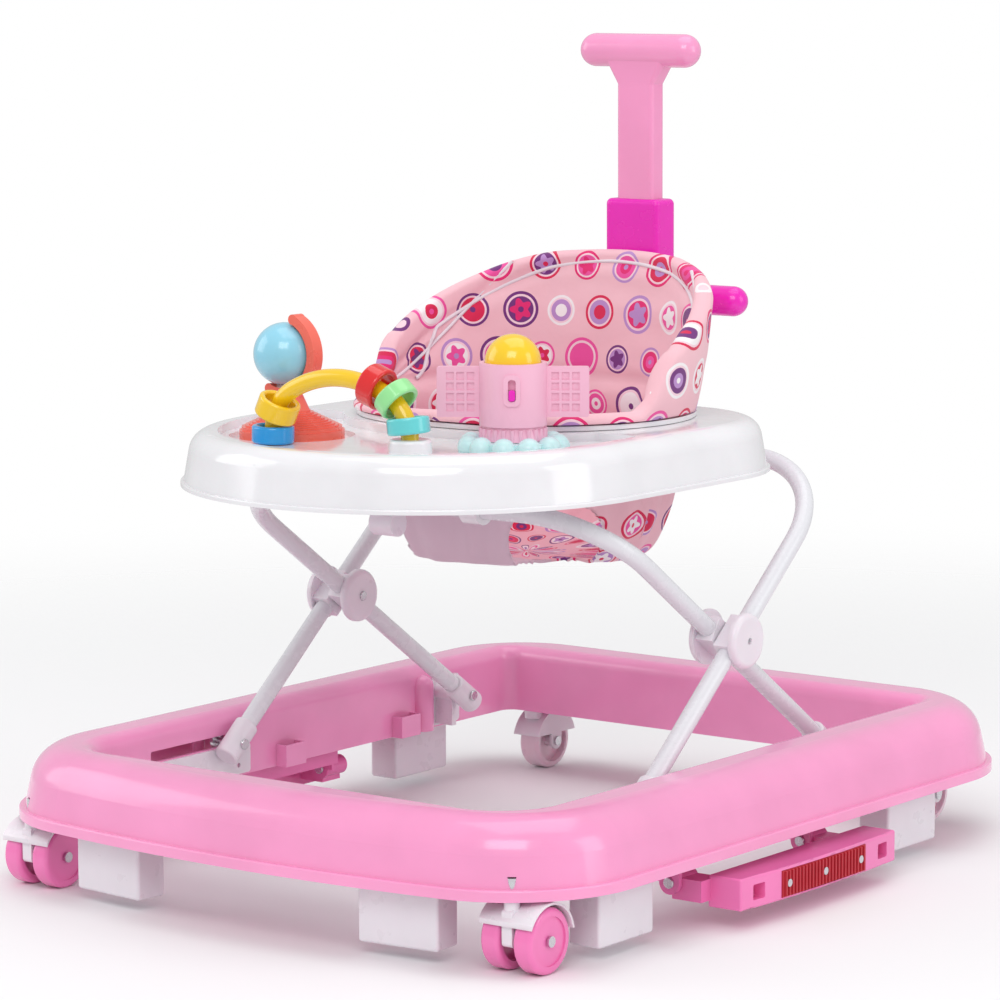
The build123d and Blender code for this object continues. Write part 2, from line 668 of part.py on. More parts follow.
def make_tray():
    body = tray_solid(0, TRAY_TOP_Z)
    sunk = extrude(Pos(0, 0, TRAY_DECK_Z) * play_area(), amount=20)
    well_x, well_y = GLOBE_PLACE
    well = Pos(well_x, well_y, TRAY_DECK_Z - GLOBE_WELL) * extrude(Circle(54), amount=20)
    body = body - sunk - well
    hollow = tray_solid(TRAY_WALL, TRAY_TOP_Z - TRAY_WALL)
    hollow -= extrude(Pos(0, 0, TRAY_DECK_Z - TRAY_WALL) * tray_outline(28), amount=20)
    hollow -= Pos(well_x, well_y, TRAY_DECK_Z - GLOBE_WELL - TRAY_WALL) * extrude(Circle(57), amount=20)
    body -= hollow
    hole = extrude(Pos(0, 0, 300) * seat_hole_outline(0), amount=150)
    collar = extrude(Pos(0, 0, TRAY_RIM_Z + 15) * seat_hole_outline(TRAY_WALL), amount=TRAY_TOP_Z - TRAY_RIM_Z - 15)
    body = body + collar - hole
    lip = extrude(Pos(0, 0, TRAY_RIM_Z) * tray_outline(0), amount=4)
    lip -= extrude(Pos(0, 0, TRAY_RIM_Z) * tray_outline(4), amount=4)
    body += fillet(lip.faces().sort_by(Axis.Z)[-1].outer_wire().edges(), 1.2)
    shelf = block((-58, TRAY_REAR - 14, SHELF_Z), (58, PUSH_Y + 16, SHELF_Z + 6))
    body += arch_socket()
    for cut in arch_holes():
        body -= cut
    return body + rounded(shelf, 5)


def arch_socket():
    """Moulded cup round one foot of the bead arch."""
    cup = Pos(ARCH_HALF_SPAN, ARCH_Y, TRAY_DECK_Z - 1) * extrude(Circle(18.5), amount=15, taper=4)
    return fillet(cup.edges().sort_by(Axis.Z)[-1], 3)


def arch_holes():
    """The two holes in the deck that the arch's feet plug into."""
    hole = rod((ARCH_HALF_SPAN, ARCH_Y, ARCH_FOOT_Z), (0, 0, 1), ARCH_TUBE_R + 0.02, 40)
    return both_sides(hole)


def make_tray_hinges():
    """Two saddles that hang the tray on the front frame's cross bar."""
    y, z = leg_point(FRONT_FRAME_ANGLE, -1, FRONT_FRAME_REACH + FRONT_FRAME_BEND)
    top = TRAY_DECK_Z - TRAY_WALL
    saddle = block((-9, y - 13, z), (9, y + 13, top))
    saddle += rod((-9, y, z), (1, 0, 0), 13, 18)
    saddle -= rod((-10, y, z), (1, 0, 0), TUBE_R + RUN, 20)
    well_x, well_y = GLOBE_PLACE
    well_floor = rod((well_x, well_y, TRAY_DECK_Z - GLOBE_WELL - TRAY_WALL), (0, 0, 1), 57, 20)
    return [Pos(x, 0, 0) * saddle - well_floor for x in (-75, 75)]


def make_height_latch():
    """Sprung lever under the tray that locks the height when it is let go."""
    y, z = leg_point(FRONT_FRAME_ANGLE, -1, FRONT_FRAME_REACH + FRONT_FRAME_BEND)
    lever = rod((-12, y, z), (1, 0, 0), 12, 24)
    lever += rod((-12, y + 3, z - 20), (1, 0, 0), 11, 24)
    lever += block((-8, y - 5, z - 22), (8, y + 9, z))
    lever -= rod((-20, y, z), (1, 0, 0), TUBE_R + RUN, 40)
    return Pos(LATCH_X, 0, 0) * lever


# ---------------------------------------------------------------- seat
def make_seat_ring():
    """Plastic ring that clips the seat fabric into the tray's opening."""
    ring = extrude(Pos(0, 0, TRAY_TOP_Z + 0.4) * seat_hole_outline(5), amount=4)
    ring += extrude(Pos(0, 0, TRAY_TOP_Z - 26) * seat_hole_outline(-0.4), amount=30)
    return ring - extrude(Pos(0, 0, TRAY_TOP_Z - 30) * seat_hole_outline(-4), amount=60)


def make_seat_back():
    """Padded backrest that wraps round the rear of the seat opening and leans outwards."""
    low = Pos(0, 0, TRAY_TOP_Z + 5) * seat_hole_outline(3)
    high = Pos(0, SEAT_LEAN, SEAT_BACK_TOP) * seat_hole_outline(SEAT_FLARE)
    outer = loft([low, high])
    low_in = Pos(0, 0, TRAY_TOP_Z + 4) * seat_hole_outline(3 - SEAT_PAD)
    high_in = Pos(0, SEAT_LEAN, SEAT_BACK_TOP + 1) * seat_hole_outline(SEAT_FLARE - SEAT_PAD)
    wall = outer - loft([low_in, high_in])
    front = (-14, TRAY_TOP_Z)
    rear = (165, SEAT_BACK_TOP)
    profile = [
        Line(front, (230, TRAY_TOP_Z)),
        Line((230, TRAY_TOP_Z), (230, SEAT_BACK_TOP)),
        Line((230, SEAT_BACK_TOP), rear),
        ThreePointArc(rear, (50, SEAT_BACK_TOP - 57), front),
    ]
    keep = extrude(Plane.YZ * make_face(profile), amount=250, both=True)
    return wall & keep


def make_seat_sling():
    """Fabric bowl under the ring, with an opening for each leg."""
    top = TRAY_TOP_Z - 28
    floor = Pos(0, SEAT_HOLE_MIDDLE, SLING_BOTTOM)
    outer = loft([Pos(0, 0, top) * seat_hole_outline(-6), floor * sling_floor(0)])
    inner = loft([Pos(0, 0, top + 1) * seat_hole_outline(-10), Pos(0, 0, 5) * floor * sling_floor(-4)])
    bowl = outer - inner
    for side in (-1, 1):
        bowl -= Pos(side * LEG_HOLE_PLACE[0], LEG_HOLE_PLACE[1], LEG_HOLE_PLACE[2]) * Sphere(LEG_HOLE_R)
    return bowl


def sling_floor(outset):
    return RectangleRounded(SLING_FLOOR_WIDTH + 2 * outset, SLING_FLOOR_LENGTH + 2 * outset, 60 + outset)


# ---------------------------------------------------------------- push bar and handle
def make_push_bar():
    """Bar across the back of the seat, with the socket for the parent's handle."""
    bar = rod((-115 + 13.5, PUSH_Y, PUSH_BAR_Z), (1, 0, 0), 13.5, 203)
    for side in (-1, 1):
        bar += Pos(side * 101.5, PUSH_Y, PUSH_BAR_Z) * Sphere(13.5)
    socket = block((-29, PUSH_Y - 15, 440), (29, PUSH_Y + 15, SOCKET_TOP))
    socket = softened(socket, 5)
    upright = block((-25, PUSH_Y - 10, SHELF_Z + 6), (25, PUSH_Y + 10, 450))
    shape = bar + socket + rounded(upright, 4)
    pocket = block((-19.9, PUSH_Y - 10.4, 478), (19.9, PUSH_Y + 10.4, SOCKET_TOP + 5))
    return shape - pocket


def make_push_handle():
    """Lift-out parent handle: a flat pole with a drooping T grip."""
    pole = block((-19.5, PUSH_Y - 10, 480), (19.5, PUSH_Y + 10, HANDLE_TOP - 20))
    pole = rounded(pole, 4)
    grip_z = HANDLE_TOP - 16
    grip = rod((-48, PUSH_Y, grip_z), (1, 0, 0), 15, 96)
    for side in (-1, 1):
        grip += Pos(side * 48, PUSH_Y, grip_z) * Sphere(15)
    neck = loft([
        Pos(0, PUSH_Y, HANDLE_TOP - 46) * RectangleRounded(39, 20, 4),
        Pos(0, PUSH_Y, HANDLE_TOP - 20) * RectangleRounded(72, 24, 8),
    ])
    return pole + grip + neck


# ---------------------------------------------------------------- toys
def make_globe_stand():
    """Ribbed cone foot with a tilted C-shaped arm that holds the globe."""
    x, y = GLOBE_PLACE
    base_z = TRAY_DECK_Z - GLOBE_WELL
    shape = Pos(x, y, base_z) * extrude(Circle(45), amount=9)
    steps = 5
    for i in range(steps):
        radius = 43 - 6 * i
        shape += Pos(x, y, base_z + 9 + 3 * i) * extrude(Circle(radius), amount=3)
        shape += Pos(x, y, base_z + 9 + 3 * i) * extrude(Circle(radius - 3), amount=4.5)
    shape += Pos(x, y, base_z + 20) * Cone(18, 6, 26, align=(Align.CENTER, Align.CENTER, Align.MIN))
    return shape + globe_arm()


def globe_plane():
    """The arm's plane: its y axis is the globe's tilted spin axis."""
    tilt = math.radians(GLOBE_TILT)
    return Plane(origin=GLOBE_CENTRE, x_dir=(math.cos(tilt), 0, -math.sin(tilt)), z_dir=(0, -1, 0))


def globe_arm():
    plane = globe_plane()
    ring = Circle(GLOBE_R + 10) - Circle(GLOBE_R + 2)
    ring -= Pos(-60, 0) * Rectangle(120, 200)
    arm = extrude(plane * ring, amount=6, both=True)
    for end in (1, -1):
        tip = Pos(0, end * (GLOBE_R + 6)) * Circle(4.5)
        arm += extrude(plane * tip, amount=6, both=True)
    for end in (1, -1):
        centre = plane.from_local_coords((0, end * (GLOBE_R + 4), 0))
        inward = plane.y_dir * -end
        arm += rod(tuple(centre), tuple(inward), 2, 9)
    return arm


def make_globe():
    """Ball with a hole along its tilted spin axis and a small peg hole in its side."""
    ball = Sphere(GLOBE_R) - Cylinder(2 + RUN, 3 * GLOBE_R)
    return Pos(*GLOBE_CENTRE) * Rot(0, GLOBE_TILT, 0) * ball


def arch_path():
    """Centreline of the arch: two upright feet, tight shoulders and a flatter crest."""
    spread = ARCH_HALF_SPAN - ARCH_SHOULDER_R
    angle = math.degrees(math.asin(spread / (ARCH_TOP_R - ARCH_SHOULDER_R)))
    crest_z = ARCH_CREST_Z - ARCH_TOP_R
    shoulder_z = crest_z + (ARCH_TOP_R - ARCH_SHOULDER_R) * math.cos(math.radians(angle))
    turn = 90 - angle
    foot = Line((-ARCH_HALF_SPAN, ARCH_FOOT_Z), (-ARCH_HALF_SPAN, shoulder_z))
    left = JernArc(start=foot @ 1, tangent=foot % 1, radius=ARCH_SHOULDER_R, arc_size=-turn)
    crest = JernArc(start=left @ 1, tangent=left % 1, radius=ARCH_TOP_R, arc_size=-2 * angle)
    right = JernArc(start=crest @ 1, tangent=crest % 1, radius=ARCH_SHOULDER_R, arc_size=-turn)
    last = Line(right @ 1, (ARCH_HALF_SPAN, ARCH_FOOT_Z))
    plane = Plane(origin=(0, ARCH_Y, 0), x_dir=(1, 0, 0), z_dir=(0, -1, 0))
    return plane * Wire([foot, left, crest, right, last])


def make_bead_arch():
    path = arch_path()
    start = Plane(origin=path @ 0, z_dir=path % 0)
    return sweep(start * Circle(ARCH_TUBE_R), path=path)


def bead(x, z, slope, width, inner_r):
    """A loose barrel-shaped ring threaded on the arch."""
    wall = BEAD_R - inner_r
    section = Pos(inner_r + wall / 2, 0) * RectangleRounded(wall, width, wall * 0.45)
    ring = revolve(Plane.XZ * section, Axis.Z)
    return Pos(x, ARCH_Y, z) * Rot(0, 90 - slope, 0) * ring


def make_rocket_base():
    """Scalloped cloud that the rocket turns on."""
    x, y = ROCKET_PLACE
    cloud = Pos(x, y, TRAY_DECK_Z) * extrude(Circle(38), amount=9)
    puffs = 11
    for i in range(puffs):
        dx, dy = polar(37, i * 360 / puffs)
        puff = Pos(x + dx, y + dy, TRAY_DECK_Z + 4) * Sphere(10)
        cloud += puff & block((x - 60, y - 60, TRAY_DECK_Z), (x + 60, y + 60, TRAY_DECK_Z + 20))
    cloud += Pos(x, y, TRAY_DECK_Z) * extrude(Circle(6), amount=24)
    return cloud


def make_rocket_body():
    """Rocket with two grid panels, a ribbed skirt and a window for its switch."""
    x, y = ROCKET_PLACE
    z = TRAY_DECK_Z + 9 + GAP
    body = Pos(x, y, z) * Cone(28, 25, 14, align=(Align.CENTER, Align.CENTER, Align.MIN))
    for i in range(24):
        dx, dy = polar(26.5, i * 15)
        body += Pos(x + dx, y + dy, z) * extrude(Circle(2), amount=10)
    body += Pos(x, y, z + 12) * extrude(Circle(28), amount=52)
    for side in (-1, 1):
        body += rocket_panel(side)
    body -= Pos(x, y, z - 1) * extrude(Circle(6 + RUN), amount=18)
    body -= Pos(x, y, z + 58) * extrude(Circle(24), amount=7)
    frame = block((x - 7, y - 29.5, z + 30), (x + 7, y - 20, z + 56))
    body += rounded(frame, 5, Axis.Y)
    window = block((x - 3.2, y - 31, z + 34), (x + 3.2, y - 24, z + 52))
    return rocket_turned(body - rounded(window, 2.5, Axis.Y))


def rocket_turned(shape):
    """The shape turned about the rocket's own axis, which stands on the cloud."""
    x, y = ROCKET_PLACE
    return Pos(x, y, 0) * Rot(0, 0, ROCKET_TURN) * Pos(-x, -y, 0) * shape


def rocket_panel(side):
    x, y = ROCKET_PLACE
    z = TRAY_DECK_Z + 28
    inner = x + side * 26
    outer = x + side * 63
    panel = block((min(inner, outer), y - 3, z), (max(inner, outer), y + 3, z + 42))
    panel = rounded(panel, 2, Axis.Y)
    for i in range(3):
        for k in range(4):
            cx = x + side * (35 + 8.5 * i)
            cz = z + 8 + 8.7 * k
            for face in (-1, 1):
                panel -= Pos(cx, y + face * 3, cz) * Box(6.2, 3, 6.4)
    return panel


def make_rocket_switch():
    """Slide switch in the rocket's window."""
    x, y = ROCKET_PLACE
    z = TRAY_DECK_Z + 9 + GAP + 34.6
    return rocket_turned(rounded(block((x - 2.7, y - 31, z), (x + 2.7, y - 24.4, z + 9)), 2, Axis.Y))


def make_rocket_dome():
    """Nose button that presses down into the rocket."""
    x, y = ROCKET_PLACE
    z = TRAY_DECK_Z + 9 + GAP + 64
    dome = Pos(x, y, z) * Sphere(23.5)
    dome = dome & block((x - 30, y - 30, z), (x + 30, y + 30, z + 30))
    return dome + Pos(x, y, z - 2.5) * extrude(Circle(23.5), amount=2.5)


# ---------------------------------------------------------------- every piece by name
def all_pieces():
    pieces = {
        "base_shell": make_base_shell(),
        "front_stop_blocks": make_front_stop_blocks(),
        "side_stop_blocks": make_side_stop_blocks(),
        "rocker_hinge_pins": make_rocker_hinge_pins(),
        "rear_foot_pins": make_rear_foot_pins(),
        "front_slide_pins": make_front_slide_pins(),
        "front_frame_tube": make_front_frame_tube(),
        "rear_frame_tube": make_rear_frame_tube(),
        "rear_foot_caps": make_rear_foot_caps(),
        "front_foot_caps": make_front_foot_caps(),
        "outer_hubs": make_outer_hubs(),
        "inner_hubs": make_inner_hubs(),
        "pivot_bolts": make_pivot_bolts(),
        "tray": make_tray(),
        "tray_hinges": make_tray_hinges(),
        "height_latch": make_height_latch(),
        "seat_ring": make_seat_ring(),
        "seat_back": make_seat_back(),
        "seat_sling": make_seat_sling(),
        "push_bar": make_push_bar(),
        "push_handle": make_push_handle(),
        "globe_stand": make_globe_stand(),
        "globe": make_globe(),
        "bead_arch": make_bead_arch(),
        "rocket_base": make_rocket_base(),
        "rocket_body": make_rocket_body(),
        "rocket_switch": make_rocket_switch(),
        "rocket_dome": make_rocket_dome(),
    }
    for name, spec in BEADS.items():
        pieces[name] = bead(*spec)
    for label, side in SIDES.items():
        front = caster_place(FRONT_CASTER, side)
        rear = caster_place(REAR_CASTER, side)
        pieces[f"slide_bracket_{label}"] = make_slide_bracket(side)
        pieces[f"foot_bracket_{label}"] = make_foot_bracket(side)
        pieces[f"rocker_bracket_{label}"] = make_rocker_bracket(side)
        pieces[f"rocker_bar_{label}"] = make_rocker_bar(side)
        pieces[f"rocker_grip_{label}"] = make_rocker_grip(side)
        pieces[f"grip_screws_{label}"] = make_grip_screws(side)
        pieces[f"front_caster_{label}"] = twin_caster_housing(front)
        pieces[f"front_caster_pins_{label}"] = caster_pins(front, 26.5, 35)
        pieces[f"front_wheel_{label}_outer"] = twin_wheel(front, side)
        pieces[f"front_wheel_{label}_inner"] = twin_wheel(front, -side)
        pieces[f"rear_caster_{label}"] = single_caster_housing(rear)
        pieces[f"rear_caster_pins_{label}"] = caster_pins(rear, 17, 52)
        pieces[f"rear_wheel_{label}"] = single_wheel(rear)
    return pieces


def write_pieces():
    os.makedirs("parts", exist_ok=True)
    for name, shape in all_pieces().items():
        shapes = shape if isinstance(shape, list) else [shape]
        solids = [solid for one in shapes for solid in one.solids()]
        export_step(Compound(children=solids), f"parts/{name}.step")


write_pieces()
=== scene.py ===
"""Looks of the baby walker: camera, studio light, plastics, painted steel and the printed fabric seat.

Lengths are in metres and angles round the seat opening are in degrees from the middle of the back.
"""

import json
import math

import bmesh
import bpy
from mathutils import Matrix, Vector, noise

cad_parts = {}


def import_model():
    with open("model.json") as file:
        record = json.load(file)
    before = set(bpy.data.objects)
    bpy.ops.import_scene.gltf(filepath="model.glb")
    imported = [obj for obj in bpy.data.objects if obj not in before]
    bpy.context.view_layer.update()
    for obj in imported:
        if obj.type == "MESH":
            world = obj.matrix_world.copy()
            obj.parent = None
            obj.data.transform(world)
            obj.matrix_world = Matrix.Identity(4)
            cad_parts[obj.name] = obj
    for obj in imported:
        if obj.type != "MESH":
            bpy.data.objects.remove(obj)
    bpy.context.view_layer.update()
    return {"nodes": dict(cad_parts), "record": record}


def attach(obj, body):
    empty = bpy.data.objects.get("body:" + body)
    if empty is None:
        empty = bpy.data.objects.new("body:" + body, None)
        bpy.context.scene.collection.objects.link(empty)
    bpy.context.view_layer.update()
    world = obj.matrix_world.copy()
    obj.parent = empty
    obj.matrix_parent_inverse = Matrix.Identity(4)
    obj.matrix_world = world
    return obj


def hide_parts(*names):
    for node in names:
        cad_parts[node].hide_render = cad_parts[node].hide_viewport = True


# ---------------------------------------------------------------- seat opening and backrest
SEAT_CENTRE_Y = 0.022
SEAT_CORNER = 0.128
SEAT_FLAT = 0.020  # half the straight part between the seat opening's two round ends
RING_Z = 0.3955
BACK_TOP_Z = 0.527
BACK_FLARE = 0.018  # how much further out the top edge stands than the ring
WING_DROP = 0.071  # how far the top edge has fallen at the end of a wing
WING_END = 87
WING_NOSE = 20  # how many degrees the steep front of a wing takes
WING_CURVE = 1.9
FRONT_ROLL_Z = 0.4065
ROLL = 0.006  # height of the rounded top of the cover
PAD_INNER = -0.0075  # the padding's faces, from the opening's outline
PAD_OUTER = 0.0045
PUFF = 0.0038  # how far the wadding swells between seams
PUFF_REACH = 0.006  # distance from a seam over which it swells
FOLD_DEPTH = 0.0022
COVER_BOTTOM_Z = 0.3990
LEAF_BOTTOM_Z = 0.366  # the leaf tucks down inside the ring
LEAF_INNER = -0.0066
LEAF_OUTER = -0.0046
BACK_COLUMNS = 360
SECTION_STEPS = 26
ROLL_STEPS = 8

# ---------------------------------------------------------------- seams and piping
CREASE_Z = 0.413
DIAGONAL_START = 35
DIAGONAL_END = 95
EDGE_PIPING_TURN = 66
EDGE_PIPING_END = 80
EDGE_PIPING_R = 0.0018
WING_PIPING_R = 0.0016

# ---------------------------------------------------------------- sling
SLING_TOP_Z = 0.366
SLING_BOTTOM_Z = 0.269
SLING_SIDE_SHARE = 0.55  # share of the drop that is the bowl's side, the rest is its floor
SLING_COLUMNS = 200
SLING_ROWS = 44
SLING_THICKNESS = 0.0022
LINING_HALF_WIDTH = 0.085
LINING_REAR_Y = -0.02
LEG_HOLE = (0.080, -0.045, 0.300)
LEG_HOLE_R = 0.042

# ---------------------------------------------------------------- print, floor and light
PRINT_PITCH = 0.041
THREAD_PITCH = 0.0011
FLOOR_HALF_SIZE = 30
FLOOR_FADE_START = 0.75  # distance from the middle of the object
FLOOR_FADE_END = 2.2
WORLD_LIGHT = 0.62
WHITE_LIGHT = (1, 1, 1, 1)

# ---------------------------------------------------------------- camera
CAMERA_PLACE = (2.1856, -2.9049, 0.8121)
CAMERA_TURN = 37.02
CAMERA_DIP = 7.78
CAMERA_ROLL = -0.20
CAMERA_LENS = 150.8
CAMERA_SHIFT = (-0.0068, 0.0030)
SENSOR_WIDTH = 36

# ---------------------------------------------------------------- colours, as linear values
PINK = (0.94, 0.34, 0.60)
HOT_PINK = (0.92, 0.20, 0.50)
MAGENTA = (0.88, 0.012, 0.52)
WHITE = (0.86, 0.85, 0.88)
MILKY = (0.84, 0.78, 0.84)
FABRIC_PINK = (0.93, 0.55, 0.62)
PIPING_WHITE = (0.88, 0.80, 0.86)
PRINT_COLOURS = [
    (0.78, 0.015, 0.17),
    (0.86, 0.08, 0.36),
    (0.17, 0.025, 0.20),
    (0.50, 0.27, 0.60),
    (0.93, 0.88, 0.90),
    (0.70, 0.01, 0.08),
]


# ---------------------------------------------------------------- node helpers
class Graph:
    """A material's node tree with short ways to add and join nodes."""

    def __init__(self, name):
        self.material = bpy.data.materials.new(name)
        self.material.use_nodes = True
        self.tree = self.material.node_tree
        self.shader = self.tree.nodes["Principled BSDF"]

    def node(self, kind, **settings):
        node = self.tree.nodes.new(kind)
        for key, value in settings.items():
            setattr(node, key, value)
        return node

    def join(self, source, target):
        self.tree.links.new(source, target)

    def put(self, socket, value):
        """Gives a socket a link or a constant."""
        if isinstance(value, bpy.types.NodeSocket):
            self.join(value, socket)
        else:
            socket.default_value = value

    def math(self, operation, a, b=0.0, c=0.0):
        node = self.node("ShaderNodeMath", operation=operation)
        for socket, value in zip(node.inputs, (a, b, c)):
            self.put(socket, value)
        return node.outputs[0]

    def mix(self, factor, a, b):
        node = self.node("ShaderNodeMix", data_type="RGBA")
        self.put(node.inputs["Factor"], factor)
        colours = [socket for socket in node.inputs if socket.type == "RGBA"]
        for socket, value in zip(colours, (a, b)):
            self.put(socket, value if isinstance(value, bpy.types.NodeSocket) else (*value, 1.0))
        return [socket for socket in node.outputs if socket.type == "RGBA"][0]

    def noise(self, scale, detail=2.0, space="Object"):
        node = self.node("ShaderNodeTexNoise")
        node.inputs["Scale"].default_value = scale
        node.inputs["Detail"].default_value = detail
        coordinates = self.node("ShaderNodeTexCoord")
        self.join(coordinates.outputs[space], node.inputs["Vector"])
        return node.outputs[0]

    def bump(self, height, strength, distance=0.001, normal=None):
        node = self.node("ShaderNodeBump")
        node.inputs["Strength"].default_value = strength
        node.inputs["Distance"].default_value = distance
        self.join(height, node.inputs["Height"])
        if normal is not None:
            self.join(normal, node.inputs["Normal"])
        return node.outputs[0]

    def spread(self, value, low, high):
        """A 0 to 1 value moved into the range low to high."""
        node = self.node("ShaderNodeMapRange")
        self.join(value, node.inputs["Value"])
        node.inputs["From Min"].default_value = 0.3
        node.inputs["From Max"].default_value = 0.7
        node.inputs["To Min"].default_value = low
        node.inputs["To Max"].default_value = high
        return node.outputs[0]


# ---------------------------------------------------------------- materials
def plastic(name, colour, rough=0.22, milky=0.0, coat=0.25, ripple=0.06):
    """Injection-moulded plastic with a faint flow ripple and uneven gloss."""
    g = Graph(name)
    mottle = g.noise(14, 3)
    lighter = tuple(min(1, channel * 1.03) for channel in colour)
    darker = tuple(channel * 0.95 for channel in colour)
    g.join(g.mix(g.spread(mottle, 0, 1), darker, lighter), g.shader.inputs["Base Color"])
    g.join(g.spread(g.noise(60, 4), rough * 0.85, rough * 1.2), g.shader.inputs["Roughness"])
    g.shader.inputs["Coat Weight"].default_value = coat
    g.shader.inputs["Coat Roughness"].default_value = 0.08
    if milky:
        g.shader.inputs["Subsurface Weight"].default_value = milky
        g.shader.inputs["Subsurface Radius"].default_value = (1.0, 0.7, 0.8)
        g.shader.inputs["Subsurface Scale"].default_value = 0.006
    g.join(g.bump(g.noise(35, 3), ripple, 0.0006), g.shader.inputs["Normal"])
    return g


def painted_steel(name, colour):
    """White powder coat: a fine orange peel over smooth tube."""
    g = Graph(name)
    g.join(g.mix(g.noise(9, 2), tuple(c * 0.97 for c in colour), colour), g.shader.inputs["Base Color"])
    g.join(g.spread(g.noise(90, 3), 0.2, 0.32), g.shader.inputs["Roughness"])
    g.shader.inputs["Coat Weight"].default_value = 0.2
    g.join(g.bump(g.noise(700, 2), 0.18, 0.0003), g.shader.inputs["Normal"])
    return g


def plated_steel(name):
    g = Graph(name)
    g.join(g.mix(g.noise(40, 4), (0.52, 0.52, 0.55), (0.74, 0.74, 0.76)), g.shader.inputs["Base Color"])
    g.shader.inputs["Metallic"].default_value = 1.0
    g.join(g.spread(g.noise(200, 5), 0.16, 0.36), g.shader.inputs["Roughness"])
    g.join(g.bump(g.noise(900, 3), 0.15, 0.0002), g.shader.inputs["Normal"])
    return g


def rubber(name, colour):
    g = Graph(name)
    g.join(g.mix(g.noise(80, 4), tuple(c * 0.8 for c in colour), colour), g.shader.inputs["Base Color"])
    g.join(g.spread(g.noise(120, 3), 0.5, 0.68), g.shader.inputs["Roughness"])
    g.join(g.bump(g.noise(500, 4), 0.3, 0.0004), g.shader.inputs["Normal"])
    return g


def weave(g, strength=0.35):
    """Fine plain weave plus soft puckers, as a normal."""
    uv = g.node("ShaderNodeUVMap", uv_map="print").outputs[0]
    parts = g.node("ShaderNodeSeparateXYZ")
    g.join(uv, parts.inputs[0])
    threads = []
    for axis in (0, 1):
        wave = g.math("SINE", g.math("MULTIPLY", parts.outputs[axis], 2 * math.pi / THREAD_PITCH))
        threads.append(g.math("ABSOLUTE", wave))
    cloth = g.math("MULTIPLY", threads[0], threads[1])
    fine = g.bump(cloth, strength, 0.00025)
    return g.bump(g.noise(24, 4), 0.45, 0.004, fine)


def plain_fabric(name, colour, rough=0.85):
    g = Graph(name)
    soft = tuple(c * 0.9 for c in colour)
    g.join(g.mix(g.noise(30, 5), soft, colour), g.shader.inputs["Base Color"])
    g.shader.inputs["Roughness"].default_value = rough
    g.shader.inputs["Sheen Weight"].default_value = 0.25
    g.join(weave(g), g.shader.inputs["Normal"])
    return g


def palette(g, value, colours):
    """Picks one of the colours by a 0 to 1 value."""
    ramp = g.node("ShaderNodeValToRGB")
    ramp.color_ramp.interpolation = "CONSTANT"
    elements = ramp.color_ramp.elements
    while len(elements) < len(colours):
        elements.new(0.5)
    for i, colour in enumerate(colours):
        elements[i].position = i / len(colours)
        elements[i].color = (*colour, 1.0)
    g.join(value, ramp.inputs["Fac"])
    return ramp.outputs["Color"]


def cell_chance(g, column, row, seed):
    """A random 0 to 1 value for each cell of the print."""
    cell = g.node("ShaderNodeCombineXYZ")
    g.join(column, cell.inputs[0])
    g.join(row, cell.inputs[1])
    cell.inputs[2].default_value = seed
    white = g.node("ShaderNodeTexWhiteNoise", noise_dimensions="3D")
    g.join(cell.outputs[0], white.inputs["Vector"])
    return white.outputs["Value"]


def printed_fabric(name):
    """Pale pink cotton printed with rows of round medallions, some with a five-petalled flower."""
    g = Graph(name)
    uv = g.node("ShaderNodeUVMap", uv_map="print").outputs[0]
    parts = g.node("ShaderNodeSeparateXYZ")
    g.join(uv, parts.inputs[0])
    v = g.math("DIVIDE", parts.outputs[1], PRINT_PITCH)
    row = g.math("FLOOR", v)
    odd = g.math("MULTIPLY", g.math("MODULO", row, 2.0), 0.5)
    u = g.math("ADD", g.math("DIVIDE", parts.outputs[0], PRINT_PITCH), odd)
    column = g.math("FLOOR", u)
    chance = [cell_chance(g, column, row, seed) for seed in (1.3, 4.7, 9.1, 13.9, 17.2)]
    x = g.math("SUBTRACT", g.math("SUBTRACT", u, column), 0.5)
    y = g.math("SUBTRACT", g.math("SUBTRACT", v, row), 0.5)
    x = g.math("ADD", x, g.math("MULTIPLY", g.math("SUBTRACT", chance[3], 0.5), 0.10))
    size = g.math("ADD", 0.31, g.math("MULTIPLY", chance[4], 0.13))
    distance = g.math("SQRT", g.math("ADD", g.math("MULTIPLY", x, x), g.math("MULTIPLY", y, y)))
    radius = g.math("DIVIDE", distance, size)
    angle = g.math("ARCTAN2", y, x)
    petals = g.math("COSINE", g.math("MULTIPLY", angle, 5.0))
    flower = g.math("ADD", 0.52, g.math("MULTIPLY", petals, 0.12))
    has_flower = g.math("GREATER_THAN", chance[3], 0.55)
    plain_heart = g.math("MULTIPLY", 0.42, g.math("SUBTRACT", 1.0, has_flower))
    heart = g.math("ADD", g.math("MULTIPLY", flower, has_flower), plain_heart)
    outer = palette(g, chance[0], PRINT_COLOURS)
    middle = palette(g, chance[1], PRINT_COLOURS)
    inner = palette(g, chance[2], PRINT_COLOURS)
    background = g.mix(g.noise(30, 5), tuple(c * 0.96 for c in FABRIC_PINK), FABRIC_PINK)
    colour = g.mix(g.math("LESS_THAN", radius, 1.0), background, outer)
    colour = g.mix(g.math("LESS_THAN", radius, 0.84), colour, (0.93, 0.66, 0.74))
    colour = g.mix(g.math("LESS_THAN", radius, 0.72), colour, middle)
    colour = g.mix(g.math("LESS_THAN", radius, heart), colour, inner)
    colour = g.mix(g.math("LESS_THAN", radius, 0.16), colour, outer)
    g.join(colour, g.shader.inputs["Base Color"])
    g.shader.inputs["Roughness"].default_value = 0.8
    g.shader.inputs["Sheen Weight"].default_value = 0.2
    g.join(weave(g), g.shader.inputs["Normal"])
    return g


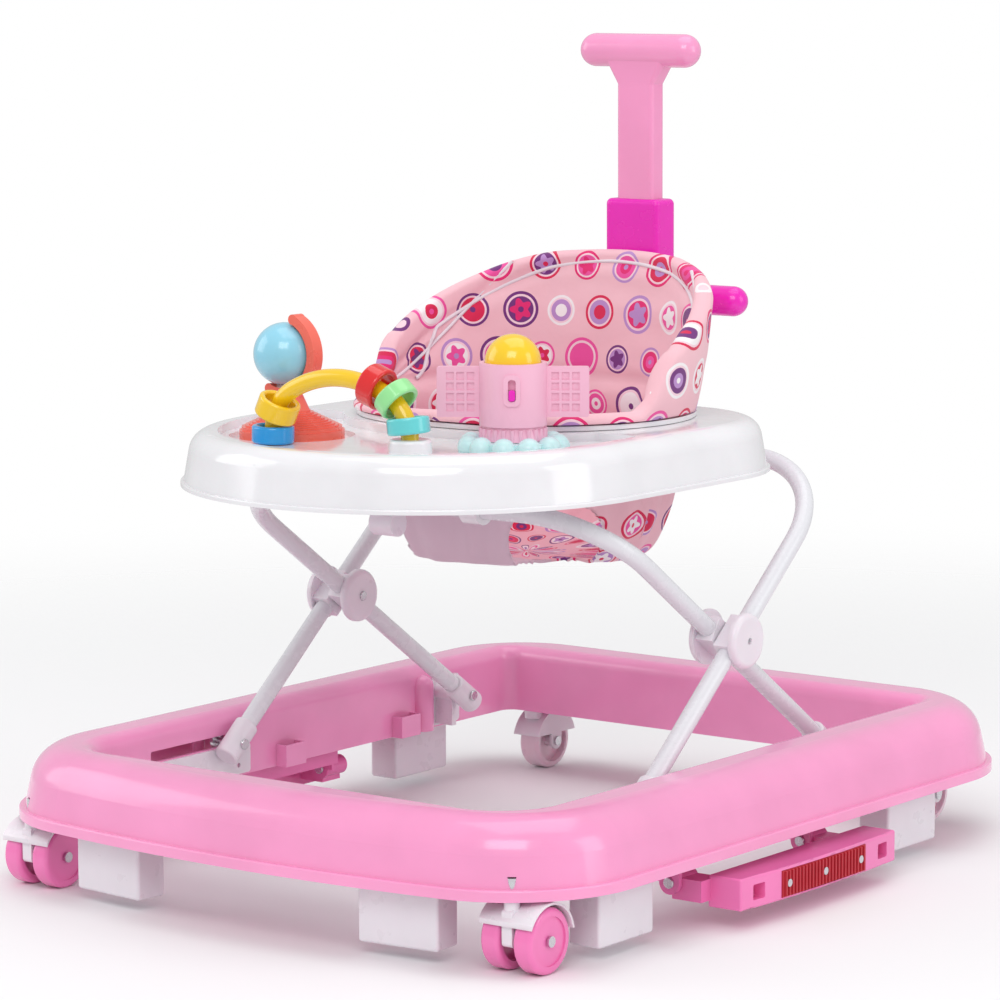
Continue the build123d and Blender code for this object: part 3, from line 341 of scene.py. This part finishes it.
def all_materials():
    return {
        "pink_shell": plastic("pink_shell", PINK, 0.2, milky=0.12, coat=0.4, ripple=0.1),
        "hot_pink": plastic("hot_pink", HOT_PINK, 0.2, coat=0.4),
        "soft_pink": plastic("soft_pink", (0.93, 0.5, 0.66), 0.35),
        "white_block": plastic("white_block", MILKY, 0.3, milky=0.3),
        "white_paint": painted_steel("white_paint", (0.78, 0.78, 0.82)),
        "tray_white": plastic("tray_white", WHITE, 0.14, milky=0.1, coat=0.5, ripple=0.05),
        "steel": plated_steel("steel"),
        "red_rubber": rubber("red_rubber", (0.55, 0.02, 0.04)),
        "rear_wheel_pink": plastic("rear_wheel_pink", (0.85, 0.66, 0.74), 0.3, milky=0.5),
        "magenta": plastic("magenta", MAGENTA, 0.25, milky=0.1),
        "coral": plastic("coral", (0.93, 0.16, 0.11), 0.28),
        "light_blue": plastic("light_blue", (0.30, 0.68, 0.86), 0.2, coat=0.5),
        "yellow": plastic("yellow", (0.94, 0.60, 0.01), 0.18, coat=0.5),
        "aqua": plastic("aqua", (0.60, 0.85, 0.86), 0.35, milky=0.3),
        "blue": plastic("blue", (0.01, 0.32, 0.75), 0.18, coat=0.5),
        "red": plastic("red", (0.75, 0.012, 0.015), 0.16, coat=0.5),
        "green": plastic("green", (0.33, 0.82, 0.33), 0.18, coat=0.5),
        "turquoise": plastic("turquoise", (0.14, 0.68, 0.70), 0.18, coat=0.5),
        "seat_fabric": printed_fabric("seat_fabric"),
        "lining": plain_fabric("lining", (0.80, 0.60, 0.70)),
        "piping": plain_fabric("piping", PIPING_WHITE),
    }


def dress_frame(frame, looks):
    """Gives every CAD node the look of its material slot."""
    slots = {part["node"]: part["material_slot"] for part in frame["record"]["subparts"]}
    for name, node in frame["nodes"].items():
        node.data.materials.clear()
        node.data.materials.append(looks[slots[name]].material)


# ---------------------------------------------------------------- seat fabric
def seat_point(angle, outset):
    """A point on the seat opening's outline, moved outwards; 90 degrees is the back."""
    radius = SEAT_CORNER + outset
    shift = SEAT_FLAT * max(-1.0, min(1.0, 3 * math.cos(angle)))
    return radius * math.cos(angle) + shift, SEAT_CENTRE_Y + radius * math.sin(angle)


def smooth(t):
    t = max(0.0, min(1.0, t))
    return t * t * (3 - 2 * t)


def degrees_from_back(angle):
    """How far round the opening this angle is from the middle of the back, 0 to 180."""
    turn = math.degrees(angle - math.pi / 2)
    return abs((turn + 180) % 360 - 180)


def back_top(angle):
    """Height of the backrest's top edge: full at the back, sloping along the wings to a low front roll."""
    off = degrees_from_back(angle)
    wing = BACK_TOP_Z - WING_DROP * (min(off, WING_END) / WING_END) ** WING_CURVE
    fall = smooth((off - WING_END) / WING_NOSE)
    return wing * (1 - fall) + FRONT_ROLL_Z * fall


def seam_distance(angle, z):
    """Distance on the inner face from the nearest sewn seam, in metres."""
    off = degrees_from_back(angle)
    top = back_top(angle)
    edge = abs(z - (top - edge_seam_drop(off)))
    crease = abs(z - CREASE_Z)
    run = (off - DIAGONAL_START) / (DIAGONAL_END - DIAGONAL_START)
    line = top + (CREASE_Z - top) * run
    diagonal = abs(z - line) * 0.8 if -0.05 < run < 1.05 else 1.0
    return min(edge, crease, diagonal)


def edge_seam_drop(off):
    """How far below the top edge the inner seam runs: close at the back, lower on the wings."""
    return 0.010 + 0.017 * smooth(off / 70)


def pillow(angle, z):
    """How far the wadding swells the cover between its seams."""
    return PUFF * (1 - math.exp(-((seam_distance(angle, z) / PUFF_REACH) ** 2)))


def ripple_at(arc, z):
    """Small soft folds, deepest where the cover is gathered just above the ring."""
    low = noise.noise(Vector((arc * 9, z * 38, 1.7)))
    fine = noise.noise(Vector((arc * 26, z * 54, 5.1)))
    gather = math.sin(arc * 95 + 2 * low) * max(0.0, 1 - (z - RING_Z) / 0.030)
    return FOLD_DEPTH * (0.9 * low + 0.5 * fine + 0.45 * max(-1.0, min(1.0, gather)))


def grid_mesh(name, rows, closed=False):
    """A mesh object from rows of points."""
    mesh = bpy.data.meshes.new(name)
    width = len(rows[0])
    points = [point for row in rows for point in row]
    faces = []
    for i in range(len(rows) - 1):
        for k in range(width if closed else width - 1):
            a = i * width + k
            b = i * width + (k + 1) % width
            faces.append((a, b, b + width, a + width))
    mesh.from_pydata(points, [], faces)
    obj = bpy.data.objects.new(name, mesh)
    bpy.context.scene.collection.objects.link(obj)
    for polygon in mesh.polygons:
        polygon.use_smooth = True
    return obj


def print_coordinates(obj, coordinates):
    """A UV map in metres, so that the print keeps its real size."""
    layer = obj.data.uv_layers.new(name="print")
    for loop in obj.data.loops:
        layer.data[loop.index].uv = coordinates[loop.vertex_index]


def back_lean(angle, z):
    """How far the backrest leans outwards at this height."""
    rise = (z - RING_Z) / (BACK_TOP_Z - RING_Z)
    return BACK_FLARE * max(0.0, rise) * (1 - 0.35 * smooth((degrees_from_back(angle) - 60) / 60))


def inner_face(angle, arc, z):
    """A point on the quilted inner face."""
    outset = PAD_INNER + back_lean(angle, z) - pillow(angle, z) + ripple_at(arc, z)
    x, y = seat_point(angle, outset)
    return (x, y, z)


def outer_face(angle, arc, z):
    """A point on the smoother outer face."""
    swell = 0.003 * math.sin(math.pi * min(1.0, max(0.0, (z - RING_Z) / (back_top(angle) - RING_Z)))) ** 0.7
    outset = PAD_OUTER + back_lean(angle, z) + swell + 0.6 * ripple_at(arc + 3, z)
    x, y = seat_point(angle, outset)
    return (x, y, z)


def back_section(angle, arc):
    """The cover's closed section at one angle: up the inside, over the top, down the outside and under."""
    top = back_top(angle) - ROLL
    low = COVER_BOTTOM_Z
    x, y = seat_point(angle, LEAF_INNER)
    section = [(x, y, LEAF_BOTTOM_Z)]
    for i in range(SECTION_STEPS + 1):
        section.append(inner_face(angle, arc, low + (top - low) * i / SECTION_STEPS))
    inside = Vector(section[-1])
    outside = Vector(outer_face(angle, arc, top))
    for i in range(1, ROLL_STEPS):
        turn = math.pi * i / ROLL_STEPS
        point = inside.lerp(outside, (1 - math.cos(turn)) / 2)
        wave = 0.0016 * noise.noise(Vector((arc * 14, 0, 8.3)))
        section.append((point.x, point.y, top + (ROLL + wave) * math.sin(turn)))
    for i in range(SECTION_STEPS, -1, -1):
        section.append(outer_face(angle, arc, low + (top - low) * i / SECTION_STEPS))
    x, y = seat_point(angle, LEAF_OUTER)
    section.append((x, y, low - 0.0008))
    section.append((x, y, LEAF_BOTTOM_Z))
    return section


def make_seat_back(looks):
    """Padded, printed backrest: high at the back, with wings, and a low roll round the front."""
    rows = []
    uvs = []
    arc = 0.0
    before = None
    for c in range(BACK_COLUMNS + 1):
        angle = -math.pi / 2 + 2 * math.pi * c / BACK_COLUMNS
        x, y = seat_point(angle, 0)
        arc += 0 if before is None else math.hypot(x - before[0], y - before[1])
        before = (x, y)
        section = back_section(angle, arc)
        rows.append(section)
        uvs.extend((arc, point[2]) for point in section)
    obj = grid_mesh("seat_back_cover", rows, closed=True)
    print_coordinates(obj, uvs)
    join_ends(obj)
    obj.data.materials.append(looks["seat_fabric"].material)
    return obj


def join_ends(obj):
    """Sews the first and the last section together at the front."""
    bm = bmesh.new()
    bm.from_mesh(obj.data)
    rim = [vertex for vertex in bm.verts if vertex.is_boundary]
    bmesh.ops.remove_doubles(bm, verts=rim, dist=0.0045)
    bmesh.ops.recalc_face_normals(bm, faces=bm.faces)
    bm.to_mesh(obj.data)
    bm.free()


def tube_along(name, points, radius, look, sides=8):
    """A round cord swept along points, as a mesh."""
    rows = []
    for i, point in enumerate(points):
        here = Vector(point)
        ahead = Vector(points[min(i + 1, len(points) - 1)]) - Vector(points[max(i - 1, 0)])
        ahead.normalize()
        side = ahead.cross(Vector((0, 0, 1)))
        side = side.normalized() if side.length > 1e-4 else Vector((1, 0, 0))
        up = side.cross(ahead)
        ring = []
        for k in range(sides):
            turn = 2 * math.pi * k / sides
            ring.append(tuple(here + (side * math.cos(turn) + up * math.sin(turn)) * radius))
        rows.append(ring)
    obj = grid_mesh(name, rows, closed=True)
    coordinates = [(k * 0.001, i * 0.003) for i in range(len(points)) for k in range(sides)]
    print_coordinates(obj, coordinates)
    obj.data.materials.append(look.material)
    return obj


def arc_at(angle):
    """Arc length round the opening, counted from the front as make_seat_back does."""
    turn = (angle + math.pi / 2) % (2 * math.pi)
    return turn * SEAT_CORNER


def make_edge_piping(looks):
    """Piping sewn along the inside of the top edge, turning down to the ring at both wings."""
    points = []
    for i in range(241):
        off = -EDGE_PIPING_END + 2 * EDGE_PIPING_END * i / 240
        angle = math.pi / 2 - math.radians(off)
        top = back_top(angle)
        turn_down = smooth((abs(off) - EDGE_PIPING_TURN) / (EDGE_PIPING_END - EDGE_PIPING_TURN))
        z = (top - edge_seam_drop(abs(off))) * (1 - turn_down) + CREASE_Z * turn_down
        points.append(inner_face(angle, arc_at(angle), z))
    return tube_along("seat_top_piping", points, EDGE_PIPING_R, looks["piping"])


def make_wing_piping(looks, side):
    """Piping that separates a wing from the back panel, from the top edge down to the ring."""
    points = []
    for i in range(70):
        run = i / 69
        off = DIAGONAL_START + (DIAGONAL_END - DIAGONAL_START) * run
        angle = math.pi / 2 + side * math.radians(off)
        top = back_top(angle)
        points.append(inner_face(angle, arc_at(angle), top + (CREASE_Z - top) * run))
    name = "wing_piping_left" if side < 0 else "wing_piping_right"
    return tube_along(name, points, WING_PIPING_R, looks["piping"])


def sling_point(angle, drop):
    """A point of the sling: drop is 0 at the ring and 1 at the middle of its floor."""
    side = min(1.0, drop / SLING_SIDE_SHARE)
    floor = max(0.0, (drop - SLING_SIDE_SHARE) / (1 - SLING_SIDE_SHARE))
    radius = (SEAT_CORNER - 0.007) * (1 - 0.17 * side ** 2.4) * (1 - floor)
    flat = SEAT_FLAT * math.cos(angle) * (1 - 0.7 * side) * (1 - floor)
    slack = noise.noise(Vector((angle * 2, drop * 3, 0)))
    fold = 0.0030 * math.sin(angle * 21 + 3 * slack) * smooth(drop * 4) * (1 - drop)
    z = SLING_TOP_Z - (SLING_TOP_Z - SLING_BOTTOM_Z - 0.004) * (1 - (1 - side) ** 1.25)
    z -= 0.004 * smooth(floor) + 0.003 * slack * smooth(drop * 3)
    x = radius * math.cos(angle) + flat
    y = SEAT_CENTRE_Y + radius * math.sin(angle)
    return (x + fold * math.cos(angle), y + fold * math.sin(angle), max(z, SLING_BOTTOM_Z))


def make_sling(looks):
    """Fabric bowl under the ring with two leg openings."""
    angles = [2 * math.pi * k / SLING_COLUMNS for k in range(SLING_COLUMNS)]
    rows = []
    uvs = []
    for i in range(SLING_ROWS + 1):
        drop = i / SLING_ROWS * 0.995
        rows.append([sling_point(angle, drop) for angle in angles])
        uvs.extend((angle * 0.12, drop * 0.2) for angle in angles)
    obj = grid_mesh("seat_sling_cloth", rows, closed=True)
    print_coordinates(obj, uvs)
    cut_leg_openings(obj)
    for name in ("seat_fabric", "lining"):
        obj.data.materials.append(looks[name].material)
    for polygon in obj.data.polygons:
        centre = polygon.center
        front = centre.y < LINING_REAR_Y and abs(centre.x) < LINING_HALF_WIDTH
        polygon.material_index = 1 if front else 0
    thicken = obj.modifiers.new("cloth thickness", "SOLIDIFY")
    thicken.thickness = SLING_THICKNESS
    thicken.offset = 0
    apply_modifiers(obj)
    return obj


def cut_leg_openings(obj):
    """Cuts a round opening for each leg and draws its edge into a clean ring."""
    bm = bmesh.new()
    bm.from_mesh(obj.data)
    for side in (-1, 1):
        centre = Vector((side * LEG_HOLE[0], LEG_HOLE[1], LEG_HOLE[2]))
        doomed = [face for face in bm.faces if (face.calc_center_median() - centre).length < LEG_HOLE_R]
        bmesh.ops.delete(bm, geom=doomed, context="FACES")
        for vertex in bm.verts:
            away = vertex.co - centre
            if vertex.is_boundary and abs(away.length - LEG_HOLE_R) < 0.008:
                vertex.co = centre + away.normalized() * LEG_HOLE_R
    bm.to_mesh(obj.data)
    bm.free()


def apply_modifiers(obj):
    """Bakes the modifiers into the mesh."""
    graph = bpy.context.evaluated_depsgraph_get()
    done = bpy.data.meshes.new_from_object(obj.evaluated_get(graph))
    obj.modifiers.clear()
    obj.data = done


# ---------------------------------------------------------------- stage and camera
def area_light(name, place, target, size, power):
    data = bpy.data.lights.new(name, "AREA")
    data.shape = "RECTANGLE"
    data.size, data.size_y = size
    data.energy = power
    lamp = bpy.data.objects.new(name, data)
    bpy.context.scene.collection.objects.link(lamp)
    lamp.location = place
    lamp.rotation_euler = (Vector(target) - Vector(place)).to_track_quat("-Z", "Y").to_euler()
    return lamp


def floor_material():
    """Pale floor that fades to the white backdrop away from the object."""
    g = Graph("studio_floor")
    g.shader.inputs["Base Color"].default_value = (0.92, 0.92, 0.93, 1)
    g.shader.inputs["Roughness"].default_value = 0.7
    place = g.node("ShaderNodeNewGeometry")
    distance = g.node("ShaderNodeVectorMath", operation="LENGTH")
    fade = g.node("ShaderNodeMapRange", interpolation_type="SMOOTHSTEP")
    fade.inputs["From Min"].default_value = FLOOR_FADE_START
    fade.inputs["From Max"].default_value = FLOOR_FADE_END
    clear = g.node("ShaderNodeBsdfTransparent")
    mix = g.node("ShaderNodeMixShader")
    output = next(node for node in g.tree.nodes if node.type == "OUTPUT_MATERIAL")
    g.join(place.outputs["Position"], distance.inputs[0])
    g.join(distance.outputs["Value"], fade.inputs["Value"])
    g.join(fade.outputs["Result"], mix.inputs["Fac"])
    g.join(g.shader.outputs["BSDF"], mix.inputs[1])
    g.join(clear.outputs["BSDF"], mix.inputs[2])
    g.join(mix.outputs["Shader"], output.inputs["Surface"])
    return g.material


def studio_world():
    """White surroundings: full white to the camera, softer as light."""
    world = bpy.data.worlds.new("studio")
    world.use_nodes = True
    tree = world.node_tree
    soft = tree.nodes["Background"]
    soft.inputs["Color"].default_value = WHITE_LIGHT
    soft.inputs["Strength"].default_value = WORLD_LIGHT
    white = tree.nodes.new("ShaderNodeBackground")
    white.inputs["Color"].default_value = WHITE_LIGHT
    white.inputs["Strength"].default_value = 1.0
    ray = tree.nodes.new("ShaderNodeLightPath")
    mix = tree.nodes.new("ShaderNodeMixShader")
    output = next(node for node in tree.nodes if node.type == "OUTPUT_WORLD")
    tree.links.new(ray.outputs["Is Camera Ray"], mix.inputs["Fac"])
    tree.links.new(soft.outputs["Background"], mix.inputs[1])
    tree.links.new(white.outputs["Background"], mix.inputs[2])
    tree.links.new(mix.outputs["Shader"], output.inputs["Surface"])
    return world


def make_stage():
    mesh = bpy.data.meshes.new("floor")
    half = FLOOR_HALF_SIZE
    corners = [(-half, -half, 0), (half, -half, 0), (half, half, 0), (-half, half, 0)]
    mesh.from_pydata(corners, [], [(0, 1, 2, 3)])
    floor = bpy.data.objects.new("floor", mesh)
    bpy.context.scene.collection.objects.link(floor)
    mesh.materials.append(floor_material())
    lights = [
        area_light("key", (1.6, -2.6, 2.6), (0, 0, 0.25), (2.2, 1.6), 40),
        area_light("fill", (-2.8, -1.4, 1.6), (0, 0, 0.3), (2.0, 2.0), 20),
        area_light("top", (0.2, 0.3, 3.2), (0, 0, 0.2), (2.6, 2.6), 27),
        area_light("side", (3.0, 0.8, 1.3), (0, 0, 0.3), (1.2, 1.8), 14),
    ]
    bpy.context.scene.world = studio_world()
    bpy.context.scene.view_settings.view_transform = "Standard"


def make_camera():
    data = bpy.data.cameras.new("camera")
    data.sensor_width = SENSOR_WIDTH
    data.lens = CAMERA_LENS
    data.shift_x, data.shift_y = CAMERA_SHIFT
    camera = bpy.data.objects.new("camera", data)
    bpy.context.scene.collection.objects.link(camera)
    turn = Matrix.Rotation(math.radians(CAMERA_TURN), 4, "Z")
    tilt = Matrix.Rotation(math.radians(90 - CAMERA_DIP), 4, "X")
    roll = Matrix.Rotation(math.radians(CAMERA_ROLL), 4, "Z")
    place = Matrix.Translation(CAMERA_PLACE)
    camera.matrix_world = place @ turn @ tilt @ roll
    bpy.context.scene.camera = camera


# ---------------------------------------------------------------- build
def main():
    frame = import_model()
    looks = all_materials()
    dress_frame(frame, looks)
    back = make_seat_back(looks)
    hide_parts("seat_back")
    sling = make_sling(looks)
    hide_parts("seat_sling")
    pipings = [make_edge_piping(looks), make_wing_piping(looks, -1), make_wing_piping(looks, 1)]
    for obj in (back, sling, *pipings):
        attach(obj, "tray_unit")
    make_stage()
    make_camera()


main()
